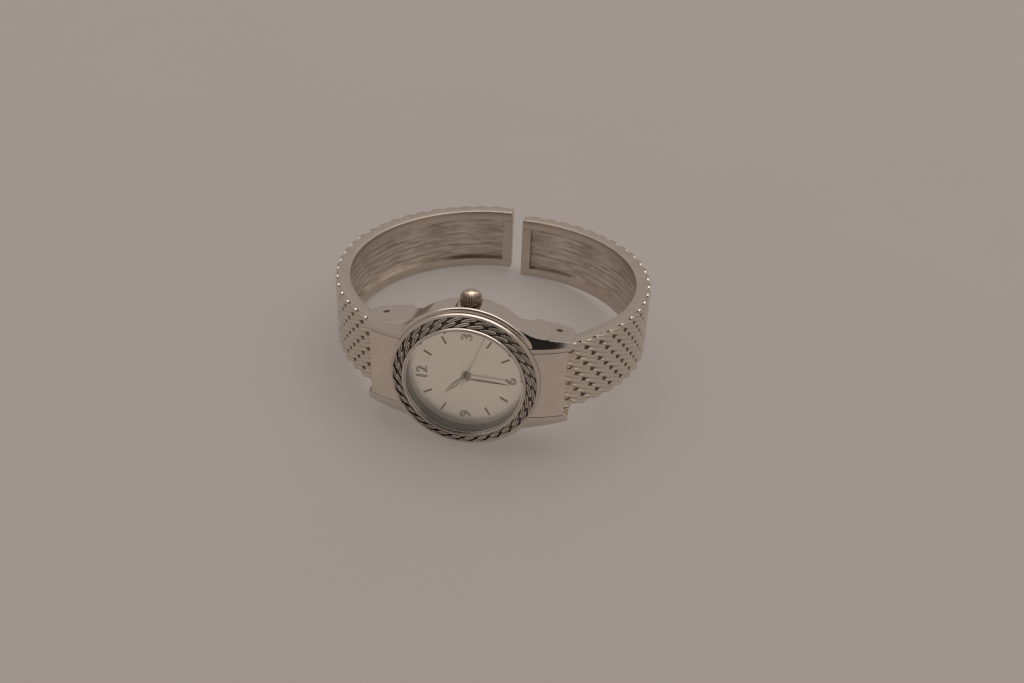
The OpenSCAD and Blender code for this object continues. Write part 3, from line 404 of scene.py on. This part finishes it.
class Arm:
    """One arm, drawn by an angle from the cuff's back, a radius and a place across its width."""

    def __init__(self, hour, side):
        self.name = f"cuff_arm_{hour}"
        self.side = side
        reach = END_GAP / 2 + side * GAP_SHIFT - ARM_OFFSET
        self.end_dir = math.degrees(math.asin(reach / (ARM_R + ARM_T / 2)))

    def at(self, turn, radius, across):
        turn = np.radians(turn)
        x = ARM_OFFSET + radius * np.sin(turn)
        z = -CUFF_MID_DEPTH - radius * np.cos(turn)
        return self.lean(x, across, z)

    def lean(self, x, y, z):
        """Mirrors a point to this arm's side, after leaning it about the hinge pin."""
        lean = math.radians(-self.side * ARM_LEAN)
        x, y, z = np.broadcast_arrays(x, y, z + PIN_DEPTH)
        turned_y = y * math.cos(lean) - z * math.sin(lean)
        turned_z = y * math.sin(lean) + z * math.cos(lean) - PIN_DEPTH
        return np.stack([self.side * x, turned_y, turned_z], -1)

    def band(self, shape):
        """The solid band: satin sides and borders, a grained recess, and outside a near-black ground painted
        as the shade under the links.
        """
        half = ARM_W / 2
        inner = half - RECESS_BORDER
        deg = math.degrees(1 / ARM_R)
        first, last = self.end_dir, HINGE_DIR - TONGUE_TURN
        recess = (first + RECESS_BORDER * deg, HINGE_DIR - RECESS_TO_HINGE)
        turns = sorted(
            [first, first + 0.06 * deg, first + 0.2 * deg, last]
            + [recess[0] - 0.12 * deg, recess[0], recess[0] + 0.06 * deg, recess[0] + 0.5 * deg]
            + [recess[1] - 0.5 * deg, recess[1] - 0.06 * deg, recess[1], recess[1] + 0.12 * deg]
            + list(np.linspace(first + 1.5 * deg, last - 1, 150)))
        floor = np.linspace(-inner, inner, 25)
        out = GROUND_R - ARM_R
        outline = [(-half, out), (-half, 1.6), (-half, 0.15), (-half + 0.04, 0.04), (-half + 0.15, 0)]
        outline += [(-inner - 0.12, 0), (-inner - 0.03, 0.03)]
        outline += [(v, None) for v in floor]
        outline += [(inner + 0.03, 0.03), (inner + 0.12, 0)]
        outline += [(half - 0.15, 0), (half - 0.04, 0.04), (half, 0.15), (half, 1.6), (half, out)]
        outline += [(half - 0.25, out + 0.12), (0, out + 0.12), (-half + 0.25, out + 0.12)]
        rows, uvs, paints = [], [], []
        for turn in turns:
            within = recess[0] <= turn <= recess[1]
            depth = RECESS_DEPTH if recess[0] + 0.05 * deg < turn < recess[1] - 0.05 * deg else 0.03
            squeeze = 0.14 if turn == first else 0.04 if turn < first + 0.1 * deg else 0
            row = []
            for v, rise in outline:
                if rise is None:
                    rise = depth if within else 0
                v = v - squeeze * math.copysign(1, v) if abs(v) > half - 0.3 else v
                rise = min(max(rise, squeeze), out + 0.12 - squeeze)
                row.append((v, ARM_R + rise))
            row = np.array(row)
            rows.append(self.at(turn, row[:, 1], row[:, 0]))
            uvs.append(np.stack([np.full(len(row), turn / deg), row[:, 0] + 40], -1))
            # The last four faces, the ground under the links, take the near-black painted shade.
            paints.append([0] * 6 + [int(within)] * 26 + [0] * 6 + [2] * 4)
        start = shape.grid(rows, paints, closed_v=True, uv=uvs)
        count = len(outline)
        shape.cap(start, count)
        shape.cap(start + (len(turns) - 1) * count, count)

    def tongues(self, shape):
        """The two ends of the band beside the spring, and their knuckles round the pin."""
        half = ARM_W / 2
        slot = SPRING_SLOT_W / 2
        turns = np.linspace(HINGE_DIR - TONGUE_TURN, HINGE_DIR, 8)
        for s in (-1, 1):
            corners = np.array([(slot, 0), (half, 0), (half, GROUND_R - ARM_R), (slot, GROUND_R - ARM_R)])
            rows = [self.at(t, ARM_R + corners[:, 1], s * corners[:, 0]) for t in turns]
            start = shape.grid(rows, closed_v=True)
            shape.cap(start, 4)
            shape.cap(start + 4 * (len(turns) - 1), 4)
            ring = np.radians(np.linspace(0, 360, 48, endpoint=False))
            loops = []
            for radius, y in ((PIN_BORE_R, slot), (KNUCKLE_R, slot), (KNUCKLE_R, half), (PIN_BORE_R, half)):
                x = PIN_X + radius * np.cos(ring)
                z = -PIN_DEPTH + radius * np.sin(ring)
                loops.append(np.stack([self.side * x, np.full(48, s * y), z], -1))
            shape.grid(loops, closed_u=True, closed_v=True)

    def weave(self):
        """Rows of links side by side, each row shifted by half a link."""
        shape = Shape()
        row_w = ARM_W / LINK_ROWS
        top_r = ARM_R + ARM_T
        deg = math.degrees(1 / top_r)
        run, side, rise = lens(LINK_L, row_w * LINK_OVERLAP, LINK_H, LINK_SLANT)
        for row in range(LINK_ROWS):
            v = -ARM_W / 2 + row_w * (row + 0.5)
            turn = HINGE_DIR - 1 - (row % 2) * LINK_PITCH / 2 * deg
            while turn > self.end_dir:
                a = np.clip(turn - run * deg, self.end_dir + 0.03, HINGE_DIR)
                across = np.clip(v - side, -ARM_W / 2, ARM_W / 2)
                shape.grid(self.at(a, top_r - LINK_H + rise, across))
                turn -= LINK_PITCH * deg
        piece(f"{self.name}_links", shape, [LINKS], self.name, sharp=180)

    def build(self):
        shape = Shape()
        self.band(shape)
        self.tongues(shape)
        piece(f"{self.name}_band", shape, [SATIN, RECESS, GAP_SHADE], self.name, [self.name])
        self.weave()


for arm in (Arm(12, -1), Arm(6, 1)):
    arm.build()


# Rope round the bezel

ROPE_LINKS = 31
ROPE_ROWS = ((12.97, 0), (12.03, 0.5))
ROPE_LIFT = 0.22


def around(turn, radius, height):
    """A point round the dial's axis, with the angle in degrees clockwise from 12 o'clock."""
    turn = np.radians(turn)
    turn, radius, height = np.broadcast_arrays(turn, radius, height)
    return np.stack([-radius * np.cos(turn), radius * np.sin(turn), height], -1)


def ring_link(length, width, strand, slant, lift, along=22, around=8):
    """One link, as lengthways, sideways and height offsets: a long ring of round wire laid aslant,
    with one end raised over its neighbour."""
    t = np.linspace(0, 2 * math.pi, along, endpoint=False)
    run = length / 2 * np.cos(t)
    side = width / 2 * np.sin(t) * (1 + 0.15 * np.cos(t)) + slant * run
    path = np.stack([run, side, lift * np.cos(t) + 0.3 * lift * np.sin(t)], -1)
    ahead = np.roll(path, -1, 0) - np.roll(path, 1, 0)
    ahead /= np.linalg.norm(ahead, axis=1, keepdims=True)
    out = np.cross(ahead, (0, 0, 1))
    out /= np.linalg.norm(out, axis=1, keepdims=True)
    up = np.cross(out, ahead)
    q = np.linspace(0, 2 * math.pi, around, endpoint=False)[None, :, None]
    wire = path[:, None, :] + strand * (np.cos(q) * out[:, None, :] + np.sin(q) * up[:, None, :])
    return wire[..., 0], wire[..., 1], wire[..., 2]


def channel(r):
    """Height of the ground under the rope."""
    slope = (BEZEL_RISE - 0.7 - BEZEL_EDGE - 0.05) / (CHAIN_OUT_R - CHAIN_IN_R - 0.2)
    return BEZEL_EDGE + 0.05 + slope * (CHAIN_OUT_R - 0.1 - r)


def rope():
    """Two rows of links, the inner one half a link ahead, on a near-black ground painted as the shade
    between them.
    """
    shape = Shape()
    for radius, shift in ROPE_ROWS:
        run, side, rise = ring_link(2.75, 0.36, 0.115, 0.28, 0.12)
        deg = math.degrees(1 / radius)
        for i in range(ROPE_LINKS):
            turn = (i + shift) * 360 / ROPE_LINKS + run * deg
            r = np.clip(radius + side, CHAIN_IN_R + 0.02, CHAIN_OUT_R - 0.02)
            shape.grid(around(turn, r, channel(r) + ROPE_LIFT + rise), closed_u=True, closed_v=True)
    piece("bezel_rope", shape, [ROPE], "case", sharp=180)
    # The ground under the rope is a near-black sheet: painted shade between the links.
    ground = Shape()
    turns = np.linspace(0, 360, 240, endpoint=False)[:, None]
    line = np.array([
        (CHAIN_OUT_R - 0.03, BEZEL_EDGE + 0.29), (CHAIN_OUT_R - 0.1, BEZEL_EDGE + 0.06),
        (CHAIN_IN_R + 0.1, BEZEL_RISE - 0.69), (CHAIN_IN_R + 0.01, BEZEL_RISE - 0.34)])
    ground.grid(around(turns, line[None, :, 0], line[None, :, 1] + 0.005), closed_u=True)
    piece("bezel_ground", ground, [GAP_SHADE], "case")


rope()


# Crown

FLUTES = 28
FLUTE_DEPTH = 0.2
CROWN_BAND = 1.3
CROWN_CAP_R = 0.95
CUP_R = 1.4
CUP_DEPTH = 1.25


def crown():
    """A domed crown whose flutes run over the edge of the dome and fade out round its cap."""
    node = frame["nodes"]["crown"]
    place = WATCH.inverted() @ node.matrix_world
    points = np.array([place @ v.co for v in node.data.vertices]) / MM
    low, high = points.min(0), points.max(0)
    middle = (low + high) / 2
    radius = (high[0] - low[0]) / 2
    top = high[1] - low[1] + 0.05
    dome = (radius**2 + (top - CROWN_BAND) ** 2) / (2 * (top - CROWN_BAND))
    rows = [(CUP_R, CUP_DEPTH, 0), (CUP_R, 0, 0), (radius - 0.2, 0, 0), (radius - 0.02, 0.1, 0.1)]
    rows += [(radius, h, FLUTE_DEPTH) for h in (0.2, 0.7, CROWN_BAND)]
    for lean in np.linspace(math.asin(radius / dome), 0.07, 18):
        r = dome * math.sin(lean)
        fade = min(max((r - CROWN_CAP_R) / (radius - CROWN_CAP_R), 0), 1)
        rows.append((r, top - dome + dome * math.cos(lean), FLUTE_DEPTH * fade**0.6))
    rows += [(0.12, top - 0.09, 0), (0.02, top - 0.1, 0)]
    turns = np.linspace(0, 2 * math.pi, FLUTES * 10, endpoint=False)
    cut = (0.5 + 0.5 * np.cos(FLUTES * turns)) ** 1.5
    shape = Shape()
    rings = []
    paints = []
    for r, h, depth in rows:
        out = r - depth * cut
        rings.append(np.stack([middle[0] + out * np.cos(turns), low[1] + h + 0 * turns,
                               middle[2] + out * np.sin(turns)], -1))
        # Faces deep in a flute take the second paint, the painted shade of the groove.
        paints.append(((depth * cut) > 0.07).astype(int))
    shape.grid(rings, paints, closed_v=True)
    piece("crown_fluted", shape, [BRASSY, GROOVE_SHADE], "crown", ["crown"], sharp=50)


crown()


# Dial


NUMERAL_SIZE = 2.9
NUMERAL_R = 8.35
NUMERAL_WIRE = 0.06
HOUR_ANGLE = 315.2
MINUTE_ANGLE = 182.5


def dial_face():
    shape = Shape()
    turns = np.linspace(0, 360, 180, endpoint=False)[:, None]
    radii = np.array([0.8, 2, 4, 6, 8, 10, 11.3])[None, :]
    shape.grid(around(turns, radii, DIAL_Z + 0.005), closed_u=True)
    piece("dial_face", shape, [SUNRAY], "case")


def numeral(text, hour):
    """An outlined numeral that stands on the dial, read with 12 o'clock up."""
    curve = bpy.data.curves.new("numeral_" + text, "FONT")
    curve.body = text
    curve.size = NUMERAL_SIZE
    curve.align_x = "CENTER"
    curve.align_y = "CENTER"
    curve.fill_mode = "NONE"
    curve.bevel_depth = NUMERAL_WIRE
    curve.bevel_resolution = 2
    source = bpy.data.objects.new("source", curve)
    bpy.context.scene.collection.objects.link(source)
    bpy.context.view_layer.update()
    mesh = bpy.data.meshes.new_from_object(source.evaluated_get(bpy.context.evaluated_depsgraph_get()))
    bpy.data.objects.remove(source)
    turn = math.radians(hour * 30)
    place = np.array([-NUMERAL_R * math.cos(turn), NUMERAL_R * math.sin(turn), DIAL_Z + NUMERAL_WIRE])
    points = np.array([v.co for v in mesh.vertices])
    middle = (points.min(0) + points.max(0)) / 2
    x, y, z = (points - middle).T
    mesh.vertices.foreach_set("co", ((np.stack([-y, x, z], -1) + place) * MM).ravel())
    mesh.materials.clear()
    mesh.materials.append(NUMERALS.material)
    mesh.shade_smooth()
    obj = bpy.data.objects.new("numeral_" + text, mesh)
    bpy.context.scene.collection.objects.link(obj)
    obj.matrix_world = WATCH
    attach(obj, "case")


def hand(name, angle, length, tail, widths, z, hub_r, hole_r, body):
    """A slender hand with a ridge along its middle, on a ring round its tube."""
    turn = math.radians(angle)
    ahead = np.array([-math.cos(turn), math.sin(turn), 0])
    aside = np.array([-math.sin(turn), -math.cos(turn), 0])
    up = np.array([0, 0, 1])
    shape = Shape()
    for reach, width in ((length, widths), (-tail, widths[:1] * 2)):
        stations = np.linspace(0.75 * hub_r * math.copysign(1, reach), reach, len(width))
        rows = []
        for at, w in zip(stations, width):
            outline = ((-w / 2, 0), (-w / 2, 0.03), (0, 0.05 + 0.14 * w), (w / 2, 0.03), (w / 2, 0))
            rows.append([at * ahead + v * aside + (z + h) * up for v, h in outline])
        start = shape.grid(rows, closed_v=True)
        shape.cap(start, 5)
        shape.cap(start + 5 * (len(rows) - 1), 5)
    turns = np.linspace(0, 360, 48, endpoint=False)[:, None]
    ring = np.array([(hole_r, 0), (hub_r, 0), (hub_r, 0.08), (hub_r - 0.08, 0.14), (hole_r, 0.14)])
    shape.grid(around(turns, ring[None, :, 0], z + ring[None, :, 1]), closed_u=True, closed_v=True)
    piece(name + "_ridged", shape, [HANDS], body, [name], sharp=20)


HOUR_WIDTHS = [0.34, 0.62, 0.86, 0.66, 0.36, 0.06]
MINUTE_WIDTHS = [0.24, 0.4, 0.52, 0.5, 0.38, 0.22, 0.06]
hand("hour_hand", HOUR_ANGLE, 5.6, 0.9, HOUR_WIDTHS, DIAL_Z + 0.35, 0.95, 0.78, "hour")
hand("minute_hand", MINUTE_ANGLE, 8.2, 0.8, MINUTE_WIDTHS, DIAL_Z + 0.75, 0.7, 0.52, "centre")

dial_face()
for text, hour in (("12", 12), ("3", 3), ("6", 6), ("9", 9)):
    numeral(text, hour)


# Floor, light and camera


FLOOR_HALF = 3.0


def floor():
    """A pale floor. It glows a little, so that the watch's shadow stays as faint as in the photo."""
    mesh = bpy.data.meshes.new("floor")
    corners = [(x * FLOOR_HALF, y * FLOOR_HALF, 0) for x, y in ((-1, -1), (1, -1), (1, 1), (-1, 1))]
    mesh.from_pydata(corners, [], [(0, 1, 2, 3)])
    paint = Paint("floor", (0.17, 0.152, 0.14), 0.0, 0.7, Emission_Color=(0.205, 0.177, 0.161, 1))
    paint.set(paint.shader, {"Emission Strength": 1.0})
    tone = paint.noise(scale=0.02, detail=2)
    paint.set(paint.shader, {"Base Color": paint.blend(tone, (0.167, 0.149, 0.138), (0.173, 0.155, 0.142))})
    mesh.materials.append(paint.material)
    obj = bpy.data.objects.new("floor", mesh)
    bpy.context.scene.collection.objects.link(obj)


def lamp(name, place, target, size, power, color):
    light = bpy.data.lights.new(name, "AREA")
    light.shape = "DISK"
    light.size = size
    light.energy = power
    light.color = color
    obj = bpy.data.objects.new(name, light)
    obj.location = place
    obj.rotation_euler = (Vector(target) - Vector(place)).to_track_quat("-Z", "Y").to_euler()
    bpy.context.scene.collection.objects.link(obj)


# The room's dark area: its direction in the watch's axes, and the cosines where it starts and is full
DARK_TOWARDS = (0.155, 0.669, 0.727)
DARK_FROM = 0.72
DARK_FULL = 0.80


def world():
    """A dim warm room under a bright ceiling, with a dark area high in front of the watch."""
    room = bpy.data.worlds.new("room")
    room.use_nodes = True
    bpy.context.scene.world = room
    tree = room.node_tree
    place = tree.nodes.new("ShaderNodeTexCoord").outputs["Generated"]

    def ramp(factor, low_at, low, high_at, high):
        node = tree.nodes.new("ShaderNodeValToRGB")
        tree.links.new(factor, node.inputs[0])
        first, last = node.color_ramp.elements
        first.position, first.color = low_at, (*low, 1)
        last.position, last.color = high_at, (*high, 1)
        return node.outputs[0]

    split = tree.nodes.new("ShaderNodeSeparateXYZ")
    tree.links.new(place, split.inputs[0])
    walls = ramp(split.outputs[2], 0.0, (0.37, 0.325, 0.30), 0.5, (0.36, 0.325, 0.30))
    ceiling = tree.nodes.new("ShaderNodeMapRange")
    ceiling.interpolation_type = "SMOOTHSTEP"
    tree.links.new(split.outputs[2], ceiling.inputs["Value"])
    for key, value in (("From Min", 0.57), ("From Max", 0.82), ("To Min", 1.0), ("To Max", 4.3)):
        ceiling.inputs[key].default_value = value
    tree.links.new(ceiling.outputs["Result"], tree.nodes["Background"].inputs["Strength"])
    towards = tree.nodes.new("ShaderNodeVectorMath")
    towards.operation = "DOT_PRODUCT"
    tree.links.new(place, towards.inputs[0])
    towards.inputs[1].default_value = WATCH.to_3x3() @ Vector(DARK_TOWARDS)
    corner = ramp(towards.outputs["Value"], DARK_FROM, (1, 1, 1), DARK_FULL, (0.05, 0.05, 0.055))
    mix = tree.nodes.new("ShaderNodeMix")
    mix.data_type = "RGBA"
    mix.blend_type = "MULTIPLY"
    mix.inputs["Factor"].default_value = 1.0
    tree.links.new(walls, mix.inputs["A"])
    tree.links.new(corner, mix.inputs["B"])
    tree.links.new(mix.outputs["Result"], tree.nodes["Background"].inputs["Color"])


def camera():
    """The photograph's own view, fitted to the watch and given in its axes."""
    right = Vector((0.9872, 0.0377, -0.1550))
    up = Vector((-0.1119, 0.8559, -0.5051))
    back = Vector((0.11385, 0.51555, 0.84926))
    turn = Matrix((right, up, back)).transposed().to_4x4()
    lens_data = bpy.data.cameras.new("camera")
    lens_data.lens = 37.31
    lens_data.sensor_width = 36
    lens_data.clip_start = 0.01
    obj = bpy.data.objects.new("camera", lens_data)
    bpy.context.scene.collection.objects.link(obj)
    obj.matrix_world = WATCH @ Matrix.Translation(Vector((29.95, 106.80, 160.63)) * MM) @ turn
    bpy.context.scene.camera = obj


floor()
world()
camera()
lamp("key", (0.1, 0.3, 0.9), (0, 0, 0.01), 0.8, 0.9, (1.0, 0.98, 0.96))
bpy.context.scene.view_settings.view_transform = "Standard"
